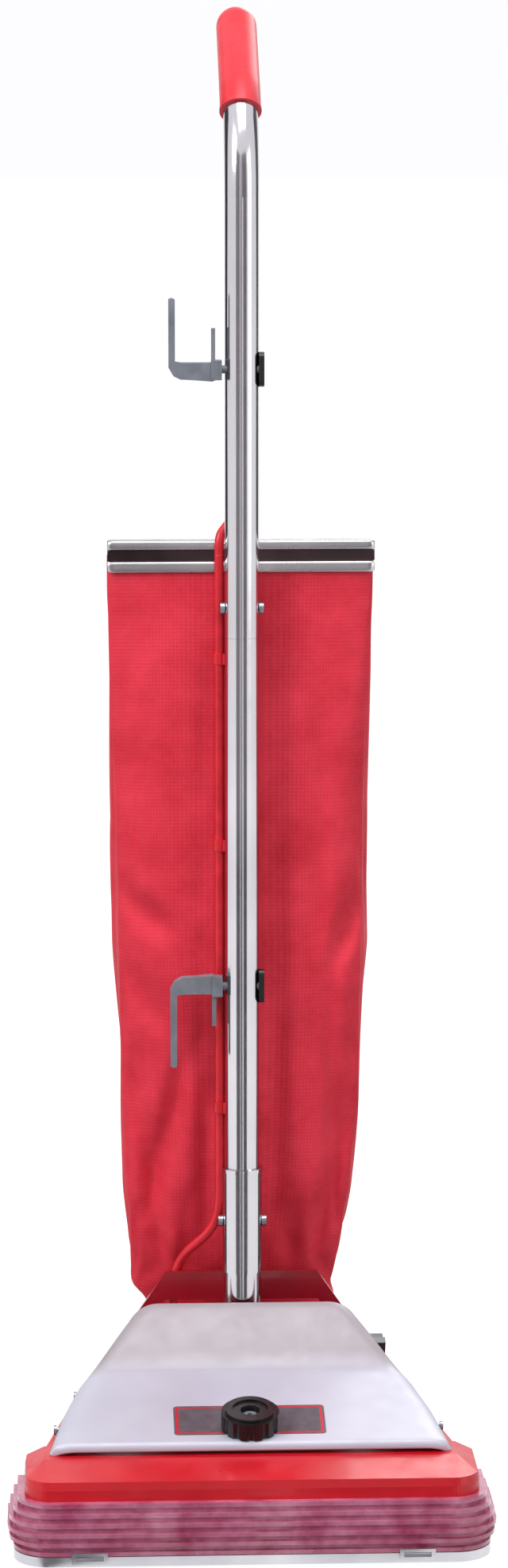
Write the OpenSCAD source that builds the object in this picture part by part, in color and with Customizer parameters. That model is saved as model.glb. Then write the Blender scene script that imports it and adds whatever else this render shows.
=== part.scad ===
// Upright vacuum cleaner with a cloth bag: cast base, bright hood, tube handle.
// Millimetres. +Z up, the front faces -Y, the floor is at Z = 0.

/* [Handle] */
// Outer diameter of the handle tubes
tube_d = 25.4; // [24:0.1:26]
// Wall of the handle tubes
tube_wall = 1.5; // [1:0.1:2]
// Height at which the upper tube starts to bend backwards
bend_z = 962.5; // [950:0.5:985]
// Radius of the handle bend
bend_r = 95; // [85:1:110]
// Angle of the handle bend
bend_angle = 55; // [45:1:60]
// Straight length of tube and grip beyond the bend
grip_straight = 74; // [66:1:80]
// Outer diameter of the grip
grip_d = 30; // [29:0.5:33]
// Height of the joint between the two tubes
joint_z = 641; // [620:1:660]
// Outer diameter of the handle socket
socket_d = 29.5; // [29:0.1:31]
// Height of the top of the handle socket
socket_top = 240; // [230:1:250]

/* [Base] */
// Width over the furniture guard
guard_w = 351; // [346:1:354]
// Width of the cast nozzle
nozzle_w = 326; // [322:1:328]
// Distance from the tube axis forward to the front of the guard
guard_reach = 218; // [218:1:224]
// Distance from the tube axis forward to the front of the nozzle
nozzle_reach = 208; // [206:1:208]
// Height of the underside of the casting
base_z = 6; // [5.6:0.1:7]
// Height of the rim on which the hood sits
rim_z = 70; // [69:0.5:71]
// Wall of the casting
wall = 4; // [3:0.5:5]
// Sheet thickness of the hood
hood_t = 1.2; // [0.8:0.1:1.6]

/* [Motor and brush] */
// Height of the motor axis, which is also the handle's pivot
pivot_z = 84; // [83:0.5:86]
// Outer radius of the motor
motor_r = 41; // [40:0.5:41]
// Height of the brush roll axis
roll_z = 29; // [28.5:0.5:30]
// Radius over the bristles
bristle_r = 26; // [24:0.5:26]
// Radius of the brush roll core
roll_r = 16; // [15:0.5:18]

/* [Wheels] */
// Radius of the rear wheels
rear_wheel_r = 30; // [28:1:31]
// Radius of the front wheels
front_wheel_r = 15; // [14:0.5:16]

/* [Bag] */
// Half width of the bag clamp
clamp_half = 100; // [98:1:104]
// Height of the underside of the bag clamp
clamp_z = 687; // [680:1:695]
// Height of the bag clamp
clamp_h = 24; // [20:1:28]

/* [Hidden] */
$fn = 48;
fine = 96;
run_gap = 0.05;
free_gap = 0.3;
tube_r = tube_d / 2;
tube_bore_r = tube_r - tube_wall;
spigot_r = tube_bore_r - run_gap;
grip_r = grip_d / 2;
grip_start = 39.5;
// the straight end beyond the bend is drawn this much thinner, in radius
tail_step = 0.05;
rear_reach = bend_r * (1 - cos(bend_angle)) + grip_straight * sin(bend_angle) + grip_r - tail_step;
loop_reach = guard_reach + 1.4;
tube_y = (loop_reach - rear_reach) / 2;
pivot_y = -14;
roll_y = -176;
nozzle_back = -142;
leg_back = 84;
leg_in = 84;
hood_back = -18;
knob_y = -145;
hood_screw_y = [-120, -40];
hood_screw_z = 75;
port_x = 26;
port_dip = 30;
belt_x = 52;
belt_w = 7.6;
belt_t = 1.8;
pulley_r = 6.2;
groove_r = 13;
shaft_r = 4;
rear_axle_y = 50;
front_axle_y = -118;
front_axle_r = 3;
carriage_y = -60;
carriage_z = 22;
pedal_y = 10;
pedal_z = 79;
hook_y = -3.5;
upper_hook_z = 838;
lower_hook_z = 379.5;
hook_stem_r = 3;
bolt_z = [198.4, 662.6];
bolt_r = 3;
lead_r = 3.5;
lead_entry_z = [735.3, 752.7];
lead_exit = [0, 11.5, 921];
lead_exit_lean = 38;
inlet_z = 858;
grommet_bore_r = 4.2;
spring_x = 5.5;
switch_z = 928;
red = "crimson";
// Centre line of the switch lead, from the motor's end cap to the switch
lead_path = [
    [-52, 10.4, 113.1], [-52, 14.4, 117.9], [-52, 19, 123.2], [-52, 22, 131], [-51, 22.6, 142],
    [-49.5, 22, 152], [-46.5, 20.3, 161], [-41, 16, 170], [-33, 12, 178.5], [-25, 10, 187],
    [-19.5, 9.5, 197], [-17, 9.2, 210], [-16.5, 9, 230], [-16.5, 9, 300], [-16.5, 9, 400],
    [-16.5, 9, 500], [-16.5, 9, 600], [-16.5, 9, 690], [-16.5, 9, 702], [-16.3, 9.1, 710],
    [-14.9, 11.2, 716], [-11.2, 14, 721], [-7.4, 15.6, 726], [-5.3, 15.2, 732], [-5.1, 13.1, 738],
    [-5.1, 10.6, 744.5], [-4.9, 8.5, 751.5], [-3.9, 7.2, 759], [-2.2, 6.5, 767], [-0.6, 6.2, 777],
    [0, 6.2, 789], [0, 6.2, 850], [0, 6.2, 898],
    [0, 6.8, 908], [0, 8.6, 915.5], [0, 11.5, 921], [0, 15, 925.5]];
// Bag sections from the bottom up: height, half width, front, back
bag_sections = [
    [124, 74, 46, 84], [150, 78, 38, 92], [180, 82, 30, 97], [212, 87, 24, 102],
    [273, 91, 19, 108], [394, 96, 16, 110], [516, 98, 15.5, 92], [600, 98, 15.5, 62],
    [660, 98.5, 15.5, 33], [685, 98.5, 15.8, 22.5], [703, 98.5, 16, 21]];
// Hood sections from the front back: place, top, half width of the top, half width of the skirt
hood_sections = [
    [-166, 76.5, 133, 144.5], [-163, 78.4, 133, 144.5], [-110, 89.2, 124, 138.5], [-69, 97.6, 113, 131.5],
    [-61, 99.8, 109, 129.8], [-55, 103.4, 103.5, 128.3], [-46, 114.4, 93, 126.5], [-36, 124.2, 84, 124],
    [-28, 132, 76.5, 122.4], [-22, 137.5, 71, 121], [-18, 139.8, 68, 120]];
deck_low = hood_sections[1];
deck_high = hood_sections[3];
deck_tilt = atan2(deck_high[1] - deck_low[1], deck_high[0] - deck_low[0]);

// ---------- shared shapes ----------

module placed() { translate([0, tube_y, 0]) children(); }

// Round bar along X from x0 to x1
module bar_x(x0, x1, r, y, z) { translate([x0, y, z]) rotate([0, 90, 0]) cylinder(h = x1 - x0, r = r); }

// Ring along X from x0 to x1
module ring_x(x0, x1, r_out, r_in, y, z) {
    difference() {
        bar_x(x0, x1, r_out, y, z);
        bar_x(x0 - 1, x1 + 1, r_in, y, z);
    }
}

// A flat outline drawn in (Y, Z), made thick along X
module thick_x(x0, x1) { translate([x0, 0, 0]) rotate([90, 0, 90]) linear_extrude(x1 - x0) children(); }

// A flat outline drawn in (X, Z), made thick along Y
module thick_y(y0, y1) { translate([0, y1, 0]) rotate([90, 0, 0]) linear_extrude(y1 - y0) children(); }

module block(low, high) { translate(low) cube(high - low); }

module both_sides() { children(); mirror([1, 0, 0]) children(); }

// Points of an arc about c, from one angle to another
function arc_points(c, r, from, to, n) = [for (i = [0:n]) let (a = from + (to - from) * i / n) c + r * [cos(a), sin(a)]];

// A belt-like outline round two circles, closed by their outer tangents
module loop_2d(a, ra, b, rb) {
    d = b - a;
    base = atan2(d[1], d[0]);
    turn = acos((ra - rb) / norm(d));
    polygon(concat(
        arc_points(a, ra, base + turn, base + 360 - turn, 20),
        arc_points(b, rb, base - turn, base + turn, 20)));
}

// A square with round corners, by its low and high corner
module round_square(low, high, r) {
    translate([low[0] + r, low[1]]) square([high[0] - low[0] - 2 * r, high[1] - low[1]]);
    translate([low[0], low[1] + r]) square([high[0] - low[0], high[1] - low[1] - 2 * r]);
    for (x = [low[0] + r, high[0] - r], y = [low[1] + r, high[1] - r]) translate([x, y]) circle(r = r);
}

// A solid lofted through rings of points, all with the same count
module loft(rings) {
    n = len(rings[0]);
    m = len(rings);
    polyhedron(
        points = [for (ring = rings) each ring],
        faces = concat(
            [[for (i = [0:n - 1]) i]],
            [for (j = [0:m - 2], i = [0:n - 1]) each [
                [(j + 1) * n + i, j * n + (i + 1) % n, j * n + i],
                [(j + 1) * n + i, (j + 1) * n + (i + 1) % n, j * n + (i + 1) % n]]],
            [[for (i = [0:n - 1]) m * n - 1 - i]]));
}

function unit(v) = v / norm(v);
function path_dir(p, i) = unit(p[min(i + 1, len(p) - 1)] - p[max(i - 1, 0)]);

// A round tube swept along a path; side is a direction that the path never takes
module sweep(path, r, sides, side) {
    loft([for (i = [0:len(path) - 1])
        let (t = path_dir(path, i), u = unit(cross(t, side)), v = cross(t, u))
        [for (k = [0:sides - 1]) path[i] + r * (cos(360 * k / sides) * u + sin(360 * k / sides) * v)]]);
}

// Points of a coil about the X axis
function coil_x(x0, x1, r, turns, y, z, steps) = [for (i = [0:turns * steps])
    [x0 + (x1 - x0) * i / (turns * steps), y + r * cos(360 * i / steps), z + r * sin(360 * i / steps)]];

// ---------- base ----------

plate_z = base_z - 1.6;

base_outline = [
    [-152, -150], [152, -150], [109, leg_back], [-109, leg_back]];

function base_half(y) = 152 - 43 * (y + 150) / (leg_back + 150);

module nozzle_outline(grow) {
    difference() {
        round_square([-nozzle_w / 2 - grow, -nozzle_reach - grow], [nozzle_w / 2 + grow, nozzle_back + 40], 20 + grow);
        translate([-nozzle_w, nozzle_back]) square([2 * nozzle_w, 60]);
    }
}

// The nozzle's crown falls forwards, from the pan's rim to the crease above the guard
module nozzle_solid() {
    hull() {
        translate([0, 0, base_z]) linear_extrude(58 - base_z) nozzle_outline(0);
        translate([0, 0, 63]) linear_extrude(1) nozzle_outline(-1.2);
        translate([0, 0, rim_z - 1]) linear_extrude(1) translate([-149, -172]) square([298, 172 + nozzle_back]);
    }
}

module base_outer() {
    difference() {
        union() {
            nozzle_solid();
            hull() {
                translate([0, 0, base_z + 6]) linear_extrude(52 - base_z) polygon(base_outline);
                translate([0, 0, rim_z - 1]) linear_extrude(1) polygon([
                    [-149, -150], [149, -150], [106, leg_back - 3], [-106, leg_back - 3]]);
            }
        }
        // behind the hood the rim falls away
        thick_x(-200, 200) polygon([[hood_back + 0.5, rim_z], [200, rim_z - 16], [200, 200], [hood_back + 0.5, 200]]);
    }
}

module pivot_lug(x0, x1) {
    thick_x(x0, x1) {
        translate([pivot_y, pivot_z]) circle(r = 12);
        polygon([[pivot_y - 12, pivot_z], [pivot_y + 12, pivot_z], [pivot_y + 18, 14], [pivot_y - 18, 14]]);
    }
}

module base_housing() {
    floor_z = base_z + 9;
    color(red) placed() difference() {
        union() {
            difference() {
                base_outer();
                // brush chamber
                block([-150, -204, 0], [150, -148, 50]);
                block([-150, -202, 49], [150, -160, 60]);
                // inside of the pan, and the opening in its rim, which the hood covers
                translate([0, 0, floor_z]) linear_extrude(rim_z - 3 - floor_z) polygon([
                    [-143, nozzle_back], [143, nozzle_back],
                    [base_half(hood_back) - wall, hood_back], [-base_half(hood_back) + wall, hood_back]]);
                translate([0, 0, rim_z - 4]) linear_extrude(5) polygon([
                    [-125, nozzle_back], [125, nozzle_back], [106, hood_back], [-106, hood_back]]);
                block([-leg_in, hood_back - 1, floor_z], [leg_in, 30, rim_z + 1]);
                // the gap behind the motor
                block([-leg_in, 33, 0], [leg_in, leg_back + 1, rim_z + 1]);
                // rear wall of the pan is low
                block([-leg_in, 29, 33], [leg_in, 34, rim_z + 1]);
                // wheel wells
                both_sides() block([leg_in + 3, 12, 0], [base_half(leg_back) - 3, leg_back - 3, 61.5]);
                both_sides() block([leg_in + 3, hood_back - 1, floor_z], [base_half(leg_back) - 3, 13, rim_z - 6]);
                // opening for the front carriage
                block([-108, nozzle_back - 0.01, 0], [108, carriage_y + 14, floor_z + 1]);
                // cam pocket behind the nozzle's crown
                block([-20, -156, 52], [20, nozzle_back + 1, rim_z + 1]);
                // window for the belt and the air
                block([42, -161, 20], [62, nozzle_back + 1, 60]);
            }
            // motor cradle
            for (x = [-32, 4]) difference() {
                block([x, pivot_y - 34, floor_z - 1], [x + 4, pivot_y + 8.8, 56]);
                bar_x(x - 1, x + 5, motor_r + run_gap, pivot_y, pivot_z);
            }
            // lugs that carry the handle's pivot bolts
            both_sides() pivot_lug(66, 74);
            // bosses for the carriage pin
            both_sides() block([110, carriage_y - 8, floor_z - 2], [124, carriage_y + 8, carriage_z + 8]);
            // ears for the pedal pin
            for (x = [85, 105]) thick_x(x, x + 3) {
                translate([pedal_y, pedal_z]) circle(r = 6);
                polygon([[pedal_y - 6, pedal_z], [pedal_y + 6, pedal_z], [pedal_y + 10, rim_z - 6], [pedal_y - 10, rim_z - 6]]);
            }
            // bosses for the latch screws
            both_sides() translate([122, -136, base_z]) cylinder(h = floor_z + 6, r = 6.6);
            // lugs for the hood's screws
            both_sides() for (y = hood_screw_y) block([skirt_half(y) - 19, y - 4, rim_z - 3], [skirt_half(y) - 11, y + 4, hood_screw_z + 4]);
        }
        bar_x(-76, 76, 5, pivot_y, pivot_z);
        bar_x(-120, 120, 4, carriage_y, carriage_z);
        bar_x(84, 110, 2.5, pedal_y, pedal_z);
        both_sides() bar_x(80, 125, 4, rear_axle_y, rear_wheel_r);
        hood_screw_places() cylinder(h = 44, r = 2, center = true);
        both_sides() bar_x(149, 155, 8, roll_y, roll_z);
        both_sides() translate([122, -136, 0]) cylinder(h = 14, r = 2);
    }
}

module guard_outline(half, reach, r) {
    difference() {
        round_square([-half, -reach], [half, -100], r);
        translate([-200, nozzle_back - 4]) square([400, 100]);
    }
}

// Half width that the guard gives up at each rib, from the lowest up: it bulges in the middle
guard_ribs = [[12, 4], [19, 1.2], [26, 0], [33, 1.6], [40, 4.2], [47, 7.2]];

module furniture_guard() {
    rib = 3;
    web = 2.2;
    color([0.93, 0.62, 0.66]) placed() difference() {
        union() {
            for (i = [0:len(guard_ribs) - 1]) let (z = guard_ribs[i][0], d = guard_ribs[i][1]) {
                translate([0, 0, z]) linear_extrude(rib) guard_outline(guard_w / 2 - d, guard_reach - d / 2, 30 - d / 2);
                if (i < len(guard_ribs) - 1) translate([0, 0, z + rib - 0.5]) linear_extrude(5)
                    guard_outline(guard_w / 2 - web - max(d, guard_ribs[i + 1][1]), guard_reach - web - max(d, guard_ribs[i + 1][1]) / 2, 27);
            }
        }
        translate([0, 0, 11]) linear_extrude(50) nozzle_outline(run_gap);
    }
}

// One arch of the hood, as points in the plane at y, thinned by t
function hood_arch(s, t, drop) =
    let (a = s[2] - t, zt = s[1] - t, b = s[3] - t, zb = rim_z - drop,
        c = [a + 7, zt], foot = [b, zb], k = min(0.45, 12 / norm(foot - c)),
        p2 = c + (foot - c) * k, half = concat(
            [for (u = [0:0.25:1]) (1 - u) * (1 - u) * [a, zt] + 2 * u * (1 - u) * c + u * u * p2],
            [(p2 + foot) / 2, foot]))
    concat([for (i = [len(half) - 1:-1:0]) [-half[i][0], half[i][1]]], half);

module hood_solid(t, front, back, drop) {
    last = len(hood_sections) - 1;
    rings = [for (i = [0:last]) let (s = hood_sections[i], y = i == 0 ? s[0] + front : i == last ? s[0] + back : s[0])
        [for (p = hood_arch(s, t, drop)) [p[0], y, p[1]]]];
    loft(rings);
}

module hood() {
    color("gainsboro") placed() difference() {
        hood_solid(0, 0, 0, -0.1);
        hood_solid(hood_t, hood_t, 1, 8);
        on_deck(knob_y) cylinder(h = 10, r = 6, center = true);
        hood_screw_places() {
            translate([0, 0, -9]) cylinder(h = 12, r = 2.05);
            translate([0, 0, 0.4]) cylinder(h = 5, r = 3.7);
        }
    }
}

function skirt_half(y) = lookup(y, [for (s = hood_sections) [s[0], s[3]]]);

// Each screw's place in the skirt; +Z points outwards
module hood_screw_places() {
    for (side = [0, 1], y = hood_screw_y) mirror([side, 0, 0])
        translate([skirt_half(y), y, hood_screw_z]) rotate([0, 90, 0]) children();
}

// Moves its children onto the sloping deck, with the local origin at the deck's face
module on_deck(y) {
    translate([0, y, deck_low[1] + (y - deck_low[0]) * tan(deck_tilt)]) rotate([deck_tilt, 0, 0]) children();
}

module hood_label() {
    color("dimgray") placed() on_deck(-134) difference() {
        translate([0, 0, 0.4]) linear_extrude(0.8) round_square([-55, -21], [55, 21], 3);
        translate([0, knob_y + 134, -1]) cylinder(h = 4, r = 7);
    }
}

module hood_screws() {
    color("silver") placed() hood_screw_places() {
        translate([0, 0, 0.4]) cylinder(h = 2.2, r = 3.6);
        translate([0, 0, -17]) cylinder(h = 18, r = 2);
    }
}

module motor_cover() {
    color("firebrick") placed() difference() {
        union() {
            ring_x(-62, 39.5, motor_r + 3, motor_r + 1, pivot_y, pivot_z);
            block([-62, hood_back + 0.4, 126], [62, hood_back + 2, 137.8]);
        }
        block([-80, -80, 0], [80, hood_back, 150]);
        block([-80, -80, 0], [80, 60, 43]);
        // way out for the exhaust
        translate([port_x, pivot_y, pivot_z]) rotate([-port_dip, 0, 0]) translate([-14, 0, -19]) cube([28, 60, 38]);
        // way out for the lead
        translate([-52, pivot_y, pivot_z]) rotate([-40, 0, 0]) cylinder(h = 60, r = lead_r + 1);
    }
}

module bottom_plate() {
    bars = [-78, 5.2, 78];
    color("silver") placed() {
        translate([0, 0, plate_z]) linear_extrude(1.5) difference() {
            round_square([-171, -216], [171, -127], 26);
            square_x = 150;
            translate([-square_x, -197]) square([2 * square_x, 42]);
            translate([-200, -131]) square([400, 20]);
            for (x = [-122, 122]) translate([x, -136]) circle(r = 2.5);
        }
        for (x = bars) block([x - 2, -198, plate_z], [x + 2, -154, plate_z + 1.5]);
        // upturned front edge
        difference() {
            translate([0, 0, plate_z]) linear_extrude(11.5 - plate_z) round_square([-171, -216], [171, -127], 26);
            translate([0, 0, 3]) linear_extrude(10) round_square([-169.5, -214.5], [169.5, -100], 24.5);
            block([-200, -180, plate_z + 1], [200, -100, 20]);
        }
        // two loops at the front edge
        both_sides() {
            block([104, -loop_reach, 7], [129.5, -215, 9.6]);
            difference() {
                block([104, -loop_reach, 7], [129.5, -guard_reach - 0.1, 15.5]);
                block([107, -loop_reach - 1, 9.6], [126.5, -guard_reach, 13]);
            }
        }
    }
}

module latch(side) {
    placed() translate([side * 122, -136, 0]) {
        translate([0, 0, 1.6]) cylinder(h = 2, r = 6);
        block([-4, -16, 1.6], [4, 0, 3.6]);
        translate([0, 0, 3]) cylinder(h = 10, r = 1.95);
    }
}

module latch_left() { color("gray") latch(-1); }
module latch_right() { color("gray") latch(1); }

// ---------- motor, fan and brush drive ----------

axis_2d = [pivot_y, pivot_z];
roll_2d = [roll_y, roll_z];

module belt_duct() {
    color("dimgray") placed() difference() {
        thick_x(40, 64) duct_2d(0);
        thick_x(41.5, 62.5) duct_2d(1.5);
        bar_x(39, 45, 20, pivot_y, pivot_z);
    }
}

module duct_2d(t) {
    intersection() {
        loop_2d(axis_2d, 27 - t, [-140, 40], 22 - t);
        translate([nozzle_back + (t > 0 ? -1 : 0), 0]) square([200, 200]);
    }
}

module fan_housing() {
    color("silver") placed() difference() {
        bar_x(12, 40, motor_r, pivot_y, pivot_z);
        bar_x(20, 37.5, motor_r - 2.5, pivot_y, pivot_z);
        bar_x(11, 41, 11, pivot_y, pivot_z);
        bar_x(37, 41, 20, pivot_y, pivot_z);
        translate([port_x, pivot_y, pivot_z]) rotate([-port_dip, 0, 0]) translate([-5.9, 20, -16]) cube([17.3, 40, 32]);
    }
}

module motor_shell() {
    color("dimgray") placed() difference() {
        ring_x(-40, 12, motor_r, motor_r - 1.5, pivot_y, pivot_z);
        for (a = [60:15:120]) translate([-34, pivot_y, pivot_z]) rotate([a + 90, 0, 0]) block([0, 30, -2], [36, 50, 2]);
    }
}

module motor_end_cap() {
    color("dimgray") placed() difference() {
        union() {
            ring_x(-60, -40, motor_r, motor_r - 2, pivot_y, pivot_z);
            bar_x(-60, -57, motor_r, pivot_y, pivot_z);
            bar_x(-58, -47, 14, pivot_y, pivot_z);
        }
        bar_x(-57, -40, 11, pivot_y, pivot_z);
        translate([-52, pivot_y, pivot_z]) rotate([-40, 0, 0]) cylinder(h = 60, r = lead_r + 0.5);
    }
}

module field_stack() {
    color("slategray") placed() difference() {
        bar_x(-26, 4, motor_r - 1.8, pivot_y, pivot_z);
        bar_x(-27, 5, 22, pivot_y, pivot_z);
        for (s = [0, 180]) translate([-27, pivot_y, pivot_z]) rotate([s, 0, 0]) block([0, 20, -12], [32, 34, 12]);
    }
}

module field_coils() {
    color("peru") placed() for (x = [-34, 4.3]) ring_x(x, x + 7, 36, 24, pivot_y, pivot_z);
}

module brush_holders() {
    color("goldenrod") placed() for (s = [0, 180]) translate([-39.2, pivot_y, pivot_z]) rotate([s, 0, 0]) difference() {
        block([-5, -5, 16], [5, 5, 36]);
        block([-3.5, -3.5, 15], [3.5, 3.5, 37]);
    }
}

module carbon_brushes() {
    color("black") placed() for (s = [0, 180]) translate([-39.2, pivot_y, pivot_z]) rotate([s, 0, 0])
        block([-3.4, -3.4, 12.3], [3.4, 3.4, 28]);
}

module motor_bearings() {
    color("silver") placed() {
        ring_x(-57, -49, 11, shaft_r + run_gap, pivot_y, pivot_z);
        ring_x(12, 19.7, 11, shaft_r + run_gap, pivot_y, pivot_z);
    }
}

module exhaust_port() {
    color("dimgray") placed() translate([port_x, pivot_y, pivot_z]) rotate([-port_dip, 0, 0]) difference() {
        union() {
            block([-13, 41.6, -18], [13, 51, 18]);
            block([-15, 48.5, -20], [15, 51, 20]);
        }
        block([-11, 30, -16], [11, 60, 16]);
    }
}

module drive_belt() {
    inner = run_gap * 2;
    color("black") placed() thick_x(belt_x - belt_w / 2, belt_x + belt_w / 2) difference() {
        loop_2d(axis_2d, pulley_r + inner + belt_t, roll_2d, groove_r + inner + belt_t);
        loop_2d(axis_2d, pulley_r + inner, roll_2d, groove_r + inner);
    }
}

module roll_end_caps() {
    color("black") placed() both_sides() difference() {
        union() {
            bar_x(147.5, 150, 13, roll_y, roll_z);
            bar_x(149, 155, 8, roll_y, roll_z);
        }
        bar_x(147, 154, shaft_r + run_gap, roll_y, roll_z);
    }
}

module brush_roll() {
    color("burlywood") placed() difference() {
        union() {
            bar_x(-146, belt_x - 6, roll_r, roll_y, roll_z);
            bar_x(belt_x - 6, belt_x + 6, groove_r, roll_y, roll_z);
            bar_x(belt_x + 6, 146, roll_r, roll_y, roll_z);
            bar_x(-153.5, 153.5, shaft_r, roll_y, roll_z);
        }
    }
}

module bristle_strips() {
    color("darkslategray") placed() for (start = [0, 180], i = [-13:13]) {
        x = i * 10.4;
        if (abs(x - belt_x) > 9) translate([x, roll_y, roll_z]) rotate([start + i * 13, 0, 0])
            translate([0, 0, roll_r - 1]) cylinder(h = bristle_r - roll_r + 1, r = 2.4);
    }
}

// The shaft carries the belt's groove on its free end
module motor_shaft() {
    color("silver") placed() {
        bar_x(-56, 58, shaft_r, pivot_y, pivot_z);
        bar_x(46, 58, pulley_r, pivot_y, pivot_z);
        for (x = [46, 56.2]) bar_x(x, x + 1.8, 9, pivot_y, pivot_z);
    }
}

module armature() {
    color("slategray") placed() difference() {
        bar_x(-26, 4, 21.4, pivot_y, pivot_z);
        bar_x(-27, 5, shaft_r, pivot_y, pivot_z);
        for (a = [0:30:330]) translate([-27, pivot_y, pivot_z]) rotate([a, 0, 0]) block([0, -1.5, 14], [32, 1.5, 22]);
    }
}

module commutator() {
    color("peru") placed() difference() {
        bar_x(-45, -30, 12, pivot_y, pivot_z);
        bar_x(-46, -29, shaft_r, pivot_y, pivot_z);
    }
}

module fan() {
    color("silver") placed() difference() {
        union() {
            bar_x(22, 36, 8, pivot_y, pivot_z);
            bar_x(22, 24, 37, pivot_y, pivot_z);
            for (a = [0:45:315]) translate([23, pivot_y, pivot_z]) rotate([a, 0, 0]) block([0, -1, 7], [11, 1, 36.5]);
        }
        bar_x(21, 37, shaft_r, pivot_y, pivot_z);
    }
}

// ---------- height adjuster ----------

module height_knob() {
    color("black") placed() on_deck(knob_y) difference() {
        union() {
            translate([0, 0, 1.6]) cylinder(h = 13, r = 21, $fn = fine);
            translate([0, 0, 14.5]) cylinder(h = 2.5, r = 18, $fn = fine);
        }
        for (a = [0:30:330]) rotate([0, 0, a]) translate([22.5, 0, 1]) cylinder(h = 13, r = 3.2);
        translate([0, 0, 12]) cylinder(h = 10, r = 7);
        cylinder(h = 12, r = 5);
        translate([0, 0, 15.5]) cylinder(h = 5, r = 13, $fn = fine);
    }
}

// The cam's underside climbs by steps as the knob turns, and lets the carriage up
module height_cam() {
    steps = 12;
    rise = 0.6;
    // each step is a little smaller than the one before, and laps over it
    trim = 0.03;
    color("gray") placed() on_deck(knob_y) difference() {
        union() {
            translate([0, 0, -20]) cylinder(h = 31.9, r = 5);
            for (i = [0:steps - 1]) rotate([0, 0, 90 + 180 / steps - 360 / steps * (i + 1) - 0.5])
                translate([0, 0, -20 + rise * i]) rotate_extrude(angle = 360 / steps + 1)
                    translate([4, 0]) square([9 - trim * i, 12 - (rise + trim) * i]);
        }
        translate([0, 0, 6]) cylinder(h = 10, r = 2);
    }
}

module front_carriage() {
    color("gray") placed() difference() {
        union() {
            bar_x(-104, 104, 7, carriage_y, carriage_z);
            both_sides() thick_x(74, 77) loop_2d([carriage_y, carriage_z], 7, [front_axle_y, front_wheel_r], 6);
            both_sides() thick_x(100, 103) loop_2d([carriage_y, carriage_z], 7, [front_axle_y, front_wheel_r], 6);
            block([-76, -104, 20], [76, -97, 24]);
            block([-8, -134, 20], [8, -97, 24]);
            block([-8, -134, 20], [8, -130, 50]);
            block([-2, -135.6, 49], [2, -130, 62.4]);
        }
        bar_x(-110, 110, 4 + run_gap, carriage_y, carriage_z);
        bar_x(-110, 110, front_axle_r, front_axle_y, front_wheel_r);
    }
}

module carriage_pin() { color("silver") placed() bar_x(-119.5, 119.5, 4, carriage_y, carriage_z); }

module carriage_spring() {
    color("gray") placed() sweep(coil_x(-30, 30, 9.5, 6, carriage_y, carriage_z, 10), 1, 6, [1, 0, 0]);
}

module front_axle() { color("silver") placed() bar_x(-103, 103, front_axle_r, front_axle_y, front_wheel_r); }

module wheel(x0, x1, r, bore, y) {
    crown = 2;
    difference() {
        union() {
            bar_x(x0 + crown, x1 - crown, r, y, r);
            bar_x(x0, x1, r - crown, y, r);
        }
        bar_x(x0 - 1, x1 + 1, bore + run_gap, y, r);
        for (x = [x0 - 1, x1 - crown]) ring_x(x, x + crown + 1, r * 0.75, r * 0.4, y, r);
    }
}

module front_wheel_left() { color("black") placed() wheel(-96, -81, front_wheel_r, front_axle_r, front_axle_y); }
module front_wheel_right() { color("black") placed() wheel(81, 96, front_wheel_r, front_axle_r, front_axle_y); }
module rear_axles() { color("silver") placed() both_sides() bar_x(83.5, base_half(rear_axle_y) + 0.5, 4, rear_axle_y, rear_wheel_r); }
module rear_wheel_left() { color("black") placed() wheel(-104, -88, rear_wheel_r, 4, rear_axle_y); }
module rear_wheel_right() { color("black") placed() wheel(88, 104, rear_wheel_r, 4, rear_axle_y); }

// ---------- handle lock ----------

module handle_pedal() {
    color("dimgray") placed() difference() {
        union() {
            bar_x(89, 104, 5, pedal_y, pedal_z);
            thick_x(98, 104) polygon([
                [pedal_y - 3, pedal_z - 4], [pedal_y + 44, pedal_z - 3], [pedal_y + 72, pedal_z + 1],
                [pedal_y + 72, pedal_z + 5], [pedal_y + 44, pedal_z + 2], [pedal_y, pedal_z + 5]]);
            block([88, pedal_y + 46, pedal_z - 1], [112, pedal_y + 76, pedal_z + 4]);
            thick_x(98, 108) polygon([
                [pedal_y - 4, pedal_z - 3], [pedal_y + 4, pedal_z + 3], [pedal_y - 10, pedal_z + 27], [pedal_y - 18, pedal_z + 25]]);
        }
        bar_x(80, 112, 2.5 + run_gap, pedal_y, pedal_z);
        block([104.2, pedal_y - 9, pedal_z - 9], [109, pedal_y + 9, pedal_z + 9]);
    }
}

module pedal_pin() { color("silver") placed() bar_x(84.5, 109.5, 2.5, pedal_y, pedal_z); }

module pedal_spring() {
    color("gray") placed() sweep(coil_x(90, 96, 6.3, 4, pedal_y, pedal_z, 12), 0.7, 6, [1, 0, 0]);
}

// ---------- handle ----------

module pivot_bolts() {
    color("silver") placed() both_sides() {
        bar_x(66, 82, 5, pivot_y, pivot_z);
        bar_x(81.5, 86, 8, pivot_y, pivot_z);
    }
}

module handle_bail() {
    color("firebrick") placed() difference() {
        union() {
            thick_y(14, 17) polygon([
                [-57, 155], [57, 155], [81, 120], [81, 106], [70, 106], [58, 133],
                [-58, 133], [-70, 106], [-81, 106], [-81, 120]]);
            both_sides() thick_x(78, 81) loop_2d(axis_2d, 13, [9, 114], 8);
        }
        bar_x(-90, 90, 5 + run_gap, pivot_y, pivot_z);
    }
}

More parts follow.
